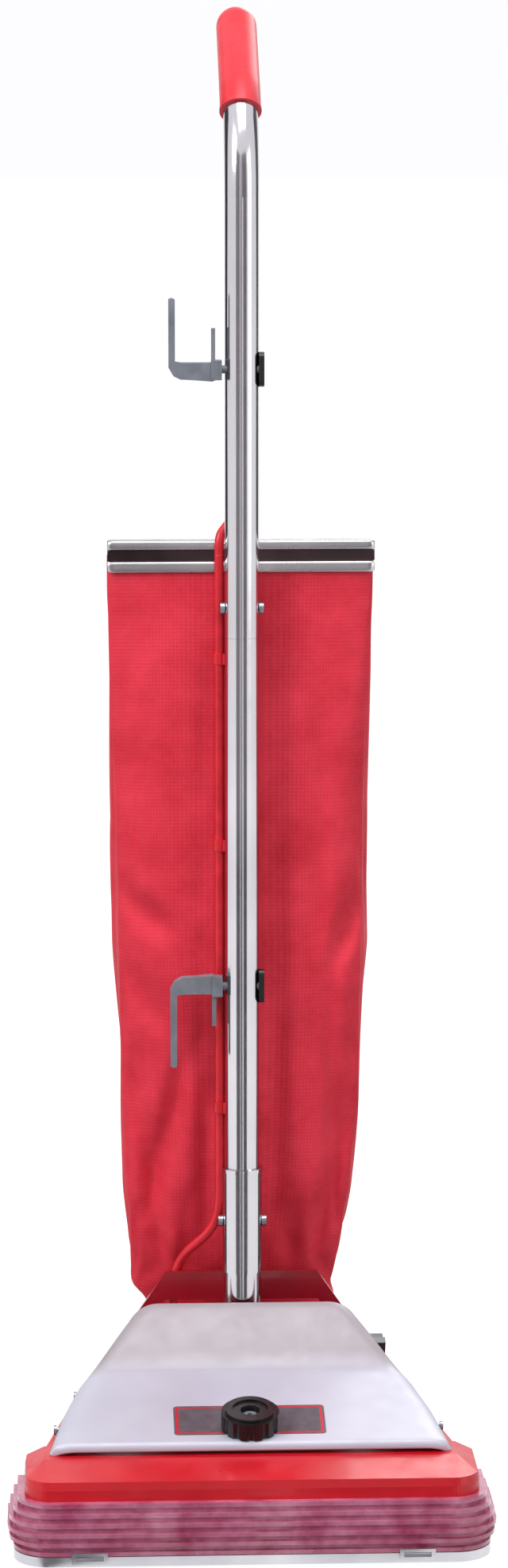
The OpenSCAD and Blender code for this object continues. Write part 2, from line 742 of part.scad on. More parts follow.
module handle_socket() {
    color("gainsboro") placed() difference() {
        union() {
            translate([0, 0, 160]) cylinder(h = socket_top - 160, r = socket_d / 2, $fn = fine);
            translate([0, 0, socket_top - 3]) cylinder(h = 3, r = socket_d / 2 + 0.5, $fn = fine);
            translate([0, 0, 134]) cylinder(h = 27, r = 13.8, $fn = fine);
            block([-10.5, 6, 135], [10.5, 14, 154]);
        }
        translate([0, 0, 166]) cylinder(h = 100, r = tube_r + run_gap);
        translate([0, 0, 128]) cylinder(h = 30, r = 11);
        bar_x(-20, 20, bolt_r, 0, bolt_z[0]);
    }
}

module cross_bolts() {
    reach = [socket_d / 2, tube_r];
    color("silver") placed() for (i = [0, 1]) {
        bar_x(-reach[i] - 1, reach[i] + 1, bolt_r, 0, bolt_z[i]);
        both_sides() bar_x(reach[i], reach[i] + 3.2, 4.4, 0, bolt_z[i]);
    }
}

module lower_tube() {
    color("gainsboro") placed() difference() {
        union() {
            translate([0, 0, 166]) cylinder(h = joint_z - 166, r = tube_r, $fn = fine);
            translate([0, 0, joint_z - 1]) cylinder(h = 46, r = spigot_r);
        }
        translate([0, 0, 160]) cylinder(h = joint_z - 165, r = tube_bore_r);
        translate([0, 0, 160]) cylinder(h = joint_z, r = spigot_r - tube_wall);
        bar_x(-20, 20, bolt_r, 0, bolt_z[0]);
        bar_x(-20, 20, bolt_r, 0, bolt_z[1]);
        bar_x(-20, 20, hook_stem_r, hook_y, lower_hook_z);
    }
}

// The path of the upper tube as a solid bar, starting at z0, tail beyond the bend
module bent_bar(r, z0, tail) {
    translate([0, 0, z0]) cylinder(h = bend_z - z0, r = r, $fn = fine);
    arc_bar(r, 0, bend_angle);
    beyond_bend() translate([0, 0, -1]) cylinder(h = tail + 1, r = r - tail_step, $fn = fine);
}

module arc_bar(r, from, to) {
    translate([0, bend_r, bend_z]) rotate([90, 0, -90]) rotate([0, 0, from])
        rotate_extrude(angle = to - from, $fn = fine) translate([bend_r, 0]) circle(r = r);
}

module beyond_bend() {
    translate([0, bend_r * (1 - cos(bend_angle)), bend_z + bend_r * sin(bend_angle)]) rotate([-bend_angle, 0, 0]) children();
}

module upper_tube() {
    color("gainsboro") placed() difference() {
        bent_bar(tube_r, joint_z + 0.2, 70);
        bent_bar(tube_bore_r, joint_z - 1, 71);
        bar_x(-20, 20, bolt_r, 0, bolt_z[1]);
        bar_x(-20, 20, hook_stem_r + run_gap, hook_y, upper_hook_z);
        thick_y(2, 20) lead_slot(5);
        thick_y(0, 20) translate([0, inlet_z]) circle(r = 6);
        translate(lead_exit) rotate([-lead_exit_lean, 0, 0]) translate([0, 0, -9]) cylinder(h = 18, r = 5.5);
    }
}

module grip() {
    color(red) placed() difference() {
        union() {
            arc_bar(grip_r, grip_start, bend_angle);
            arc_bar(grip_r + 0.4, grip_start, grip_start + 1.6);
            beyond_bend() {
                translate([0, 0, -1]) cylinder(h = grip_straight + 1, r = grip_r - tail_step, $fn = fine);
                translate([0, 0, grip_straight]) sphere(r = grip_r - tail_step, $fn = fine);
            }
        }
        arc_bar(tube_r, grip_start - 1, bend_angle);
        beyond_bend() translate([0, 0, -1]) cylinder(h = 71.5, r = tube_r - tail_step, $fn = fine);
    }
}

// A cord hook on the left of the tube; up is 1 for a blade that points up
module cord_hook(z, up, blade) {
    stem_out = 15.4;
    placed() translate([0, hook_y, z]) {
        rotate([0, 90, 0]) translate([0, 0, -tube_r - 6]) cylinder(h = tube_r + 6 + stem_out - 1, r = hook_stem_r);
        scale_z = up;
        both_ways(up) {
            block([-22.5, -6, -7.5], [-14.8, 5, 7]);
            thick_y(-5, 4) polygon([
                [-15, -6], [-22, -8.5], [-34, -7.6], [-45, -7], [-50, -4.5], [-53.5, 1.5], [-53.5, blade],
                [-51, blade + 1], [-48.8, blade], [-48.8, 6], [-44, 5.2], [-22, 5.2], [-15, 4]]);
            block([-22.5, -2, 6], [-19.5, 1, 30]);
        }
    }
}

module both_ways(up) {
    if (up > 0) children();
    else mirror([0, 0, 1]) children();
}

module upper_cord_hook() { color("gray") cord_hook(upper_hook_z, 1, 51); }
module lower_cord_hook() { color("gray") cord_hook(lower_hook_z, -1, 60); }

module hook_retainers() {
    color("black") placed() for (z = [upper_hook_z, lower_hook_z]) translate([0, hook_y, z]) difference() {
        thick_x(12.2, 16.2) {
            square([9, 17], center = true);
            for (s = [-1, 1]) translate([0, s * 8.2]) circle(r = 4.5);
        }
        bar_x(11, 15.2, hook_stem_r + (z == upper_hook_z ? run_gap : 0), 0, 0);
        translate([0, -hook_y, -30]) cylinder(h = 60, r = tube_r);
    }
}

module switch_body() {
    color("black") placed() difference() {
        block([-11, 8, switch_z - 25], [11, 27, switch_z + 25]);
        translate([0, 0, switch_z - 40]) cylinder(h = 80, r = tube_r, $fn = fine);
        block([-7, 20, switch_z - 13], [7, 30, switch_z + 13]);
        translate(lead_exit) rotate([-lead_exit_lean, 0, 0]) translate([0, 0, -9]) cylinder(h = 16, r = 4);
    }
}

module switch_rocker() {
    color("red") placed() translate([0, 24, switch_z]) rotate([-9, 0, 0]) {
        thick_x(-6.6, 6.6) polygon([[-2.5, -3], [-2.5, 3], [3, 12], [5, 11.5], [3.4, 0], [5, -11.5], [3, -12]]);
        bar_x(-6.9, 6.9, 1.5, 0, 0);
    }
}

// Outline of the slot behind the tube through which the lead goes in
module lead_slot(r) {
    for (z = lead_entry_z) translate([-5.1, z]) circle(r = r);
    translate([-5.1 - r, lead_entry_z[0]]) square([2 * r, lead_entry_z[1] - lead_entry_z[0]]);
}

module cable_grommets() {
    color("black") placed() {
        difference() {
            union() {
                thick_y(5, 12.4) lead_slot(5 - run_gap);
                thick_y(6, 14.4) intersection() {
                    lead_slot(6.4);
                    translate([-11, 700]) square([13, 100]);
                }
            }
            difference() {
                translate([0, 0, 720]) cylinder(h = 50, r = tube_r + 0.02, $fn = fine);
                thick_y(5, 12.4) lead_slot(5 - run_gap);
            }
            translate([0, 0, 720]) cylinder(h = 50, r = tube_bore_r - 0.6);
            thick_y(0, 20) lead_slot(3.8);
            block([-12, 11.4, 722], [-1, 20, 734.5]);
            block([-9.5, 0, 753], [0.3, 11.6, 760]);
        }
        translate([0, 0, inlet_z]) rotate([-90, 0, 0]) difference() {
            union() {
                translate([0, 0, 10.9]) cylinder(h = 5.9, r = 6);
                translate([0, 0, tube_r + 0.4]) cylinder(h = 1.8, r = 7.6);
            }
            translate([0, 0, 10]) cylinder(h = 8, r = grommet_bore_r);
        }
    }
}

module switch_lead() { color(red) placed() sweep(lead_path, lead_r, 10, [0.1, 1, 0.02]); }

module lead_clips() {
    color("gray") placed() for (z = [280, 480, 620]) translate([0, 0, z]) difference() {
        union() {
            translate([-16.5, 9, 0]) cylinder(h = 8, r = lead_r + 1.1);
            block([-14, 3.2, 0], [-10, 8, 8]);
        }
        translate([-16.5, 9, -1]) cylinder(h = 10, r = lead_r + run_gap);
        translate([0, 0, -1]) cylinder(h = 10, r = tube_r, $fn = fine);
    }
}

// ---------- bag ----------

module bag_clamp() {
    top = clamp_z + clamp_h;
    color("silver") placed() thick_x(-clamp_half, clamp_half) difference() {
        union() {
            round_square([13.4, clamp_z + 3], [24.6, top], 3);
            translate([14.8, clamp_z + 2]) circle(r = 1.4 + 0.6);
            translate([23.2, clamp_z + 2]) circle(r = 1.4 + 0.6);
        }
        round_square([15, clamp_z + 1], [22.8, top - 4.5], 2);
        translate([16.9, clamp_z - 2]) square([4.2, 8]);
        translate([15, clamp_z - 2]) square([7.8, 10]);
    }
}

module clamp_spring() {
    top = clamp_z + clamp_h;
    coil = [for (i = [0:64]) [5 * cos(36 * i), 19 + 5 * sin(36 * i), top + 12 + i * 0.55]];
    color("silver") placed() translate([spring_x, 0, 0]) {
        sweep(coil, 0.9, 6, [0, 0, 1]);
        difference() {
            block([-5, 8, top + 52], [4, 25, top + 55]);
            translate([-spring_x, 0, top]) cylinder(h = 80, r = tube_r, $fn = fine);
        }
        block([-3, 18, top + 45], [3, 20, top + 53]);
        block([-3, 18, top + 0.3], [3, 20, top + 14]);
    }
}

function bag_ring(s) = let (cy = (s[2] + s[3]) / 2, hy = (s[3] - s[2]) / 2)
    [for (k = [0:23]) let (a = 15 * k, c = cos(a), n = sin(a))
        [s[1] * sign(c) * pow(abs(c), 0.5), cy + hy * sign(n) * pow(abs(n), 0.6), s[0]]];

module bag() { color(red) placed() loft([for (s = bag_sections) bag_ring(s)]); }

// The neck leaves the exhaust, turns upwards and widens into the bag
neck_bend_r = 22;
neck_depth = 17.5;
neck_top = 122;
neck_start = [pivot_y + 53 * cos(port_dip), pivot_z - 53 * sin(port_dip)];
neck_centre = neck_start + neck_bend_r * [sin(port_dip), cos(port_dip)];

function neck_ring(turn, rise) =
    let (lean = 90 - port_dip + turn, x = port_x * (1 - rise), half = 13.5 + 46 * rise,
        c = neck_centre - neck_bend_r * [cos(lean), sin(lean)] + [0, (neck_top - neck_centre[1]) * rise])
    [for (k = [0:15]) let (a = -22.5 * k, u = sign(cos(a)) * pow(abs(cos(a)), 0.7), v = sign(sin(a)) * pow(abs(sin(a)), 0.7))
        [x + half * u, c[0] + neck_depth * v * cos(lean), c[1] + neck_depth * v * sin(lean)]];

module bag_neck() {
    full = 90 + port_dip;
    color(red) placed() loft(concat(
        [for (turn = [0:20:full]) neck_ring(turn, 0)],
        [for (rise = [0.2:0.2:1]) neck_ring(full, rise)]));
}

// ---------- the assembly ----------

base_housing();
furniture_guard();
hood();
hood_label();
hood_screws();
motor_cover();
bottom_plate();
latch_left();
latch_right();
belt_duct();
fan_housing();
motor_shell();
motor_end_cap();
field_stack();
field_coils();
brush_holders();
carbon_brushes();
motor_bearings();
exhaust_port();
drive_belt();
roll_end_caps();
brush_roll();
bristle_strips();
motor_shaft();
armature();
commutator();
fan();
height_knob();
height_cam();
front_carriage();
carriage_pin();
carriage_spring();
front_axle();
front_wheel_left();
front_wheel_right();
rear_axles();
rear_wheel_left();
rear_wheel_right();
handle_pedal();
pedal_pin();
pedal_spring();
pivot_bolts();
handle_bail();
handle_socket();
cross_bolts();
lower_tube();
upper_tube();
grip();
upper_cord_hook();
lower_cord_hook();
hook_retainers();
switch_body();
switch_rocker();
cable_grommets();
switch_lead();
lead_clips();
bag_clamp();
clamp_spring();
bag();
bag_neck();
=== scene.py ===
"""Upright vacuum cleaner with a cloth bag: the soft pieces, the smooth skins and the finishes."""

import math

import bpy
import numpy as np
from bpy.props import FloatProperty, PointerProperty, StringProperty
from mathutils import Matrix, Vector


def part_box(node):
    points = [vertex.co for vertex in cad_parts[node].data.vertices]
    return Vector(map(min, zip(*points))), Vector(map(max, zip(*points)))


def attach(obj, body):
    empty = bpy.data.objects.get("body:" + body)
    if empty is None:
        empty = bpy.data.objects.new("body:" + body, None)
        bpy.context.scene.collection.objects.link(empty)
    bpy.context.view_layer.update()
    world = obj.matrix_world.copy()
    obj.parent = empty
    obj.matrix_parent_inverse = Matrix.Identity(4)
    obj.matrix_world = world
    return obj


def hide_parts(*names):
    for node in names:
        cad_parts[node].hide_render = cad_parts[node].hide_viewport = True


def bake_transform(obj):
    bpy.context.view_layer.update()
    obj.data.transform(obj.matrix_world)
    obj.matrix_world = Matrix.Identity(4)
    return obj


bl_info = {
    "name": "Upright Vacuum Cleaner",
    "version": (1, 0, 0),
    "blender": (4, 5, 0),
    "location": "View3D > Sidebar > Vacuum",
    "description": "Builds the bag, the bright hood, the lead and the finishes of an upright vacuum cleaner",
    "category": "Add Mesh",
}

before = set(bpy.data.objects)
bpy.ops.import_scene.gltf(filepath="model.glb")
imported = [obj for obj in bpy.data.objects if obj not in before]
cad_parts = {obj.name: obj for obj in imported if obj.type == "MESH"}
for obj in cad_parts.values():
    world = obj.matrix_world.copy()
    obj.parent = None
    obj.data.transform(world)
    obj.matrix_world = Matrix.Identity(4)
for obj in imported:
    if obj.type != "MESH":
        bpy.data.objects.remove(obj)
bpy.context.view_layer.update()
MM = 0.001


# ---------------------------------------------------------------- small tools


def linear(hex_colour, alpha=1.0):
    """An sRGB hex colour as linear RGBA."""
    rgb = [int(hex_colour[i : i + 2], 16) / 255 for i in (1, 3, 5)]
    return [c / 12.92 if c <= 0.04045 else ((c + 0.055) / 1.055) ** 2.4 for c in rgb] + [alpha]


def middle(node):
    low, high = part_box(node)
    return (low + high) / 2


TUBE = middle("lower_tube")  # the handle tube's axis stands here
AXIS_Y = TUBE.y


def at(x, y, z):
    """A point given in millimetres from the foot of the handle tube's axis."""
    return Vector((x * MM, AXIS_Y + y * MM, z * MM))


def add(tree, kind, sockets=(), **settings):
    """Adds one shader node, with its settings, and fills or links its sockets."""
    made = tree.nodes.new(kind)
    for key, value in settings.items():
        setattr(made, key, value)
    for key, value in dict(sockets).items():
        if isinstance(value, bpy.types.NodeSocket):
            tree.links.new(value, made.inputs[key])
        else:
            made.inputs[key].default_value = value
    return made


def finish_of(name, build, **uniform):
    """A material: build(tree) returns the sockets that vary, uniform holds the values that don't."""
    made = bpy.data.materials.new(name)
    made.use_nodes = True
    tree = made.node_tree
    shader = tree.nodes["Principled BSDF"]
    for key, value in uniform.items():
        shader.inputs[key.replace("_", " ")].default_value = value
    for key, value in build(tree).items():
        tree.links.new(value, shader.inputs[key])
    return made


def place(tree):
    return add(tree, "ShaderNodeTexCoord").outputs["Object"]


def grain(tree, size_mm, detail=3.0, roughness=0.55, coords=None):
    """Noise whose features are about size_mm across."""
    return add(
        tree,
        "ShaderNodeTexNoise",
        {"Vector": coords or place(tree), "Scale": 1 / (size_mm * MM), "Detail": detail, "Roughness": roughness},
    ).outputs["Fac"]


def between(tree, fac, low, high):
    """A value or colour that runs from low to high as fac goes from 0.3 to 0.7, where noise lives."""
    if isinstance(low, (int, float)):
        return add(
            tree,
            "ShaderNodeMapRange",
            {"Value": fac, "From Min": 0.3, "From Max": 0.7, "To Min": low, "To Max": high},
        ).outputs["Result"]
    ramp = add(tree, "ShaderNodeValToRGB", {"Fac": fac})
    ramp.color_ramp.elements[0].position, ramp.color_ramp.elements[1].position = 0.3, 0.7
    ramp.color_ramp.elements[0].color, ramp.color_ramp.elements[1].color = low, high
    return ramp.outputs["Color"]


def bump(tree, height, depth_mm, strength=1.0):
    return add(
        tree, "ShaderNodeBump", {"Height": height, "Distance": depth_mm * MM, "Strength": strength}
    ).outputs["Normal"]


# ---------------------------------------------------------------- finishes


def enamel(name, deep, bright, roughness, clear):
    """Sprayed and baked enamel on cast metal: deep colour under a glossy skin with faint orange peel."""

    def build(tree):
        peel = grain(tree, 3.0, 2.0)
        cloud = grain(tree, 45.0, 3.0)
        return {
            "Base Color": between(tree, cloud, linear(deep), linear(bright)),
            "Roughness": between(tree, grain(tree, 18.0, 5.0), roughness * 0.8, roughness * 1.3),
            "Normal": bump(tree, peel, 0.06, 0.5),
        }

    return finish_of(name, build, Coat_Weight=clear, Coat_Roughness=0.1)


def plated(name, tone, shade, smooth, rough, wave_mm=60.0):
    """Chrome plate on pressed or drawn steel: mirror-bright, with faint handling haze and sheet waviness."""

    def build(tree):
        haze = grain(tree, 14.0, 6.0, 0.65)
        return {
            "Base Color": between(tree, grain(tree, 90.0), linear(shade), linear(tone)),
            "Roughness": between(tree, haze, smooth, rough),
            "Normal": bump(tree, grain(tree, wave_mm, 1.0), 0.25, 0.25),
        }

    return finish_of(name, build, Metallic=1.0)


def shaded_rear_plate(name):
    """Plated pressed sheet gone satin: bluish white on its deck, and a greyer base colour on the steep rear face, which
    is painted shade.
    """

    def build(tree):
        y = add(tree, "ShaderNodeSeparateXYZ", {0: place(tree)}).outputs["Y"]
        # painted shade: a blend along Y gives the steep rear face a greyer base colour, standing for the darker light
        # it gets
        painted_shade_rear = add(
            tree,
            "ShaderNodeMapRange",
            {"Value": y, "From Min": at(0, -70, 0).y, "From Max": at(0, -48, 0).y},
            interpolation_type="SMOOTHSTEP",
        ).outputs["Result"]
        deck = between(tree, grain(tree, 90.0), linear("#bdbccb"), linear("#c7c7d5"))
        painted_shade_face = between(tree, grain(tree, 60.0), linear("#a49ba2"), linear("#aea6ac"))
        haze = grain(tree, 14.0, 6.0, 0.65)
        return {
            "Base Color": add(tree, "ShaderNodeMix", {0: painted_shade_rear, 6: deck, 7: painted_shade_face}, data_type="RGBA").outputs[2],
            "Roughness": between(tree, haze, 0.42, 0.56),
            "Normal": bump(tree, grain(tree, 60.0, 1.0), 0.25, 0.25),
        }

    return finish_of(name, build, Metallic=0.2)


def moulded(name, colour, light, roughness, speck_mm=0.9, depth=0.03):
    """Injection-moulded plastic or vulcanised rubber: matt, with the fine spark texture of its mould."""

    def build(tree):
        speck = grain(tree, speck_mm, 3.0)
        return {
            "Base Color": between(tree, grain(tree, 12.0, 4.0), linear(colour), linear(light)),
            "Roughness": between(tree, speck, roughness * 0.85, min(1.0, roughness * 1.15)),
            "Normal": bump(tree, speck, depth, 0.5),
        }

    return finish_of(name, build)


def zinc_plated(name, tone="#b9bcc2", shade="#8e9299", roughness=0.32):
    """Zinc plate on turned or stamped steel: soft grey shine, with fine drawn lines."""

    def build(tree):
        lines = add(tree, "ShaderNodeMapping", {"Vector": place(tree), "Scale": (1.0, 8.0, 8.0)}).outputs["Vector"]
        streak = grain(tree, 2.5, 4.0, 0.6, lines)
        return {
            "Base Color": between(tree, grain(tree, 8.0), linear(shade), linear(tone)),
            "Roughness": between(tree, streak, roughness * 0.8, roughness * 1.25),
            "Normal": bump(tree, streak, 0.02, 0.4),
        }

    return finish_of(name, build, Metallic=1.0)


def woven_cloth(name, deep, bright):
    """Coated plain-weave nylon: crossing threads, drawn at 1.3 mm where the real ones are 0.4 mm, so that they show,
    with a soft sheen and slight unevenness of dye and wear."""

    def build(tree):
        uv = add(tree, "ShaderNodeUVMap", uv_map="cloth").outputs["UV"]
        waves = [
            add(
                tree,
                "ShaderNodeTexWave",
                {"Vector": uv, "Scale": 1 / (1.3 * MM) / 20 * 3.1416, "Distortion": 0.8, "Detail": 2.0},
                bands_direction=way,
            ).outputs["Fac"]
            for way in ("X", "Y")
        ]
        weave = add(tree, "ShaderNodeMath", {0: waves[0], 1: waves[1]}, operation="MULTIPLY").outputs[0]
        cloud = grain(tree, 38.0, 5.0, 0.6)
        slub = grain(tree, 4.0, 4.0, 0.7)
        tone = between(tree, cloud, linear(deep), linear(bright))
        # painted shade between the threads and a faint painted highlight on their crossings: the weave scales the dye
        # colour
        shade = add(tree, "ShaderNodeMapRange", {"Value": weave, "To Min": 0.86, "To Max": 1.04}).outputs["Result"]
        colour = add(
            tree, "ShaderNodeVectorMath", {0: tone, "Scale": shade}, operation="SCALE"
        ).outputs["Vector"]
        height = add(tree, "ShaderNodeMath", {0: weave, 1: slub}, operation="ADD").outputs[0]
        return {
            "Base Color": colour,
            "Roughness": between(tree, slub, 0.62, 0.8),
            "Normal": bump(tree, height, 0.12, 0.6),
        }

    return finish_of(
        name,
        build,
        Sheen_Weight=0.12,
        Sheen_Roughness=0.45,
        Sheen_Tint=linear("#ffb4b4"),
    )


def clear_vinyl(name, tint, deep):
    """Extruded soft vinyl, clear and tinted by the red behind it: glossy, slightly cloudy inside."""

    def build(tree):
        cloud = grain(tree, 22.0, 3.0)
        return {
            "Base Color": between(tree, cloud, linear(deep), linear(tint)),
            "Roughness": between(tree, grain(tree, 6.0, 4.0), 0.12, 0.28),
            "Normal": bump(tree, grain(tree, 9.0, 2.0), 0.15, 0.4),
        }

    return finish_of(name, build, Transmission_Weight=0.3, IOR=1.52, Coat_Weight=0.5, Coat_Roughness=0.08)


def varnished_beech(name):
    """Turned and varnished beech: pale brown with rings stretched along the turning."""

    def build(tree):
        along = add(tree, "ShaderNodeMapping", {"Vector": place(tree), "Scale": (0.08, 1.0, 1.0)}).outputs["Vector"]
        rings = grain(tree, 2.2, 5.0, 0.6, along)
        return {
            "Base Color": between(tree, rings, linear("#8a5f38"), linear("#c9a06c")),
            "Roughness": between(tree, rings, 0.35, 0.5),
            "Normal": bump(tree, rings, 0.03, 0.4),
        }

    return finish_of(name, build, Coat_Weight=0.3)


def label_print(name):
    """Printed aluminium plate: charcoal ground, a fine red line near its edge, no lettering."""
    low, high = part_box("hood_label")
    centre, half = (low + high) / 2, (high - low) / 2

    def build(tree):
        parts = add(tree, "ShaderNodeSeparateXYZ", {0: place(tree)}).outputs
        edges = []
        for axis, mid, reach in (("X", centre.x, half.x), ("Y", centre.y, half.y)):
            away = add(tree, "ShaderNodeMath", {0: parts[axis], 1: mid}, operation="SUBTRACT").outputs[0]
            away = add(tree, "ShaderNodeMath", {0: away}, operation="ABSOLUTE").outputs[0]
            edges.append(add(tree, "ShaderNodeMath", {0: reach, 1: away}, operation="SUBTRACT").outputs[0])
        inset = add(tree, "ShaderNodeMath", {0: edges[0], 1: edges[1]}, operation="MINIMUM").outputs[0]
        line = add(
            tree, "ShaderNodeMath", {0: inset, 1: 2.4 * MM, 2: 1.0 * MM}, operation="COMPARE"
        ).outputs[0]
        ground = between(tree, grain(tree, 10.0), linear("#4a4a52"), linear("#5d5d66"))
        colour = add(
            tree, "ShaderNodeMix", {0: line, 6: ground, 7: linear("#c02434")}, data_type="RGBA"
        ).outputs[2]
        return {"Base Color": colour, "Roughness": between(tree, grain(tree, 3.0), 0.3, 0.42)}

    return finish_of(name, build, Coat_Weight=0.3)


def finishes():
    """Every finish, and the CAD nodes that take it."""
    cast_red = enamel("Enamel.CastRed", "#c0081a", "#d01022", 0.34, 0.1)
    dark_red = enamel("Enamel.DarkRed", "#8c0f20", "#a81628", 0.3, 0.4)
    # the hood's greyer rear face is painted shade
    hood = shaded_rear_plate("Chrome.PressedSheet")
    tube = plated("Chrome.DrawnTube", "#d4d1d6", "#c6c3c9", 0.09, 0.18, 200.0)
    clamp = plated("Steel.RolledChannel", "#c8c6c8", "#a8a4a8", 0.22, 0.38)
    # painted shade: the clamp groove's dark colour stands for the dark reflection in its hollow
    plated("Steel.ChannelGroovePaintedShade", "#5a4a4c", "#2e2426", 0.3, 0.45)
    zinc = zinc_plated("Zinc.Fastener")
    bright = plated("Aluminium.PlatePressed", "#d8d8dc", "#c0c0c6", 0.25, 0.4)
    black = moulded("Phenolic.Black", "#0d0d0f", "#18181a", 0.32, 1.2)
    rubber = moulded("Rubber.Black", "#101010", "#1c1c1c", 0.75, 1.4, 0.06)
    grey = moulded("Nylon.Grey", "#6f737c", "#858992", 0.42)
    motor = enamel("Enamel.MotorGrey", "#2a2b30", "#383a40", 0.38, 0.3)
    alloy = zinc_plated("Aluminium.DieCast", "#b4b6ba", "#8f9296", 0.45)
    grip = moulded("Vinyl.GripRed", "#d0202e", "#e23240", 0.38, 1.1, 0.05)
    lead = moulded("Vinyl.LeadRed", "#c81424", "#e02434", 0.35)
    return {
        "base_housing": cast_red,
        "motor_cover": dark_red,
        "handle_bail": dark_red,
        "hood": hood,
        "handle_socket": tube,
        "lower_tube": tube,
        "upper_tube": tube,
        "bag_clamp": clamp,
        "bottom_plate": bright,
        "height_knob": black,
        "switch_body": black,
        "hook_retainers": black,
        "roll_end_caps": black,
        "drive_belt": rubber,
        "cable_grommets": rubber,
        "front_wheel_left": rubber,
        "front_wheel_right": rubber,
        "rear_wheel_left": rubber,
        "rear_wheel_right": rubber,
        "upper_cord_hook": grey,
        "lower_cord_hook": grey,
        "lead_clips": lead,
        "height_cam": grey,
        "belt_duct": motor,
        "motor_shell": motor,
        "motor_end_cap": motor,
        "exhaust_port": motor,
        "handle_pedal": motor,
        "fan_housing": alloy,
        "fan": alloy,
        "grip": grip,
        "switch_lead": lead,
        "switch_rocker": moulded("Nylon.SwitchRed", "#b8141f", "#cf1f2a", 0.28),
        "field_stack": zinc_plated("Steel.Laminations", "#7d8087", "#5d6067", 0.5),
        "armature": zinc_plated("Steel.RotorCore", "#7d8087", "#5d6067", 0.5),
        "field_coils": zinc_plated("Copper.EnamelledWire", "#c47a4a", "#8e4a26", 0.35),
        "commutator": zinc_plated("Copper.TurnedBars", "#cf8a5c", "#a05c34", 0.3),
        "brush_holders": zinc_plated("Brass.Drawn", "#c9a553", "#a3813a", 0.3),
        "carbon_brushes": moulded("Carbon.Pressed", "#141414", "#222222", 0.6),
        "brush_roll": varnished_beech("Beech.Turned"),
        "bristle_strips": moulded("Nylon.Bristle", "#17171a", "#2a2a2e", 0.6, 0.6, 0.1),
        "hood_label": label_print("Aluminium.PrintedLabel"),
        "furniture_guard": clear_vinyl("Vinyl.ClearPink", "#ea96b8", "#bc4470"),
    }, zinc


# ---------------------------------------------------------------- mesh tools


def mesh_object(name, points, faces, material):
    """A smooth-shaded mesh in the scene, with its material."""
    data = bpy.data.meshes.new(name)
    data.from_pydata([tuple(p) for p in points], [], faces)
    data.validate()
    made = bpy.data.objects.new(name, data)
    bpy.context.scene.collection.objects.link(made)
    data.materials.append(material)
    data.polygons.foreach_set("use_smooth", [True] * len(data.polygons))
    return made


def grid_faces(rows, columns, closed):
    """Quads between rows of points; closed joins the last column to the first."""
    last = columns if closed else columns - 1
    return [
        (r * columns + c, r * columns + (c + 1) % columns, (r + 1) * columns + (c + 1) % columns, (r + 1) * columns + c)
        for r in range(rows - 1)
        for c in range(last)
    ]


def apply_modifiers(made):
    """Puts what the modifiers make into the mesh itself."""
    graph = bpy.context.evaluated_depsgraph_get()
    data = bpy.data.meshes.new_from_object(made.evaluated_get(graph))
    made.modifiers.clear()
    old, made.data = made.data, data
    bpy.data.meshes.remove(old)


def add_modifier(made, kind, **settings):
    modifier = made.modifiers.new(kind.title(), kind)
    for key, value in settings.items():
        setattr(modifier, key, value)
    return modifier


def smooth_line(points, count):
    """count points along a Catmull-Rom curve through the given ones."""
    p = [Vector(q) for q in points]
    p = [p[0] * 2 - p[1]] + p + [p[-1] * 2 - p[-2]]
    spans = len(p) - 3
    made = []
    for i in range(count):
        t = i * spans / (count - 1)
        k = min(int(t), spans - 1)
        u = t - k
        a, b, c, d = p[k : k + 4]
        made.append(
            0.5 * ((2 * b) + (c - a) * u + (2 * a - 5 * b + 4 * c - d) * u * u + (3 * b - a - 3 * c + d) * u**3)
        )
    return made


def tube(name, path, radius, sides, material, slot):
    """A round tube along a path, closed at both ends."""
    points, across = [], Vector((0.13, 0.99, 0.05)).normalized()
    for i, p in enumerate(path):
        ahead = (path[min(i + 1, len(path) - 1)] - path[max(i - 1, 0)]).normalized()
        across = (across - ahead * across.dot(ahead)).normalized()
        other = ahead.cross(across)
        for k in range(sides):
            a = 2 * math.pi * k / sides
            points.append(p + radius * (math.cos(a) * across + math.sin(a) * other))
    faces = grid_faces(len(path), sides, True)
    faces.append(tuple(reversed(range(sides))))
    faces.append(tuple(range((len(path) - 1) * sides, len(path) * sides)))
    return mesh_object(name, points, faces, material)


# ---------------------------------------------------------------- pieces


def build_finishes(tool):
    made, zinc = finishes()
    for name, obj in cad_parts.items():
        material = made.get(name, zinc)
        for i in range(max(1, len(obj.data.materials))):
            if i < len(obj.data.materials):
                obj.data.materials[i] = material
            else:
                obj.data.materials.append(material)


# The middle of the switch lead, (x, y, z) in millimetres from the foot of the tube, from the motor to the switch
LEAD_ROUTE = [
    (-52, 10.4, 113.1), (-52, 14.4, 117.9), (-52, 19, 123.2), (-52, 22, 131), (-51, 22.6, 142),
    (-49.5, 22, 152), (-46.5, 20.3, 161), (-41, 16, 170), (-33, 12, 178.5), (-25, 10, 187),
    (-19.5, 9.5, 197), (-17, 9.2, 210), (-16.5, 9, 230), (-16.5, 9, 300), (-16.5, 9, 400),
    (-16.5, 9, 500), (-16.5, 9, 600), (-16.5, 9, 690), (-16.5, 9, 702), (-16.3, 9.1, 710),
    (-14.9, 11.2, 716), (-11.2, 14, 721), (-7.4, 15.6, 726), (-5.3, 15.2, 732), (-5.1, 13.1, 738),
    (-5.1, 10.6, 744.5), (-4.9, 8.5, 751.5), (-3.9, 7.2, 759), (-2.2, 6.5, 767), (-0.6, 6.2, 777),
    (0, 6.2, 789), (0, 6.2, 850), (0, 6.2, 898), (0, 6.8, 908), (0, 8.6, 915.5), (0, 11.5, 921),
    (0, 15, 925.5),
]  # fmt: skip


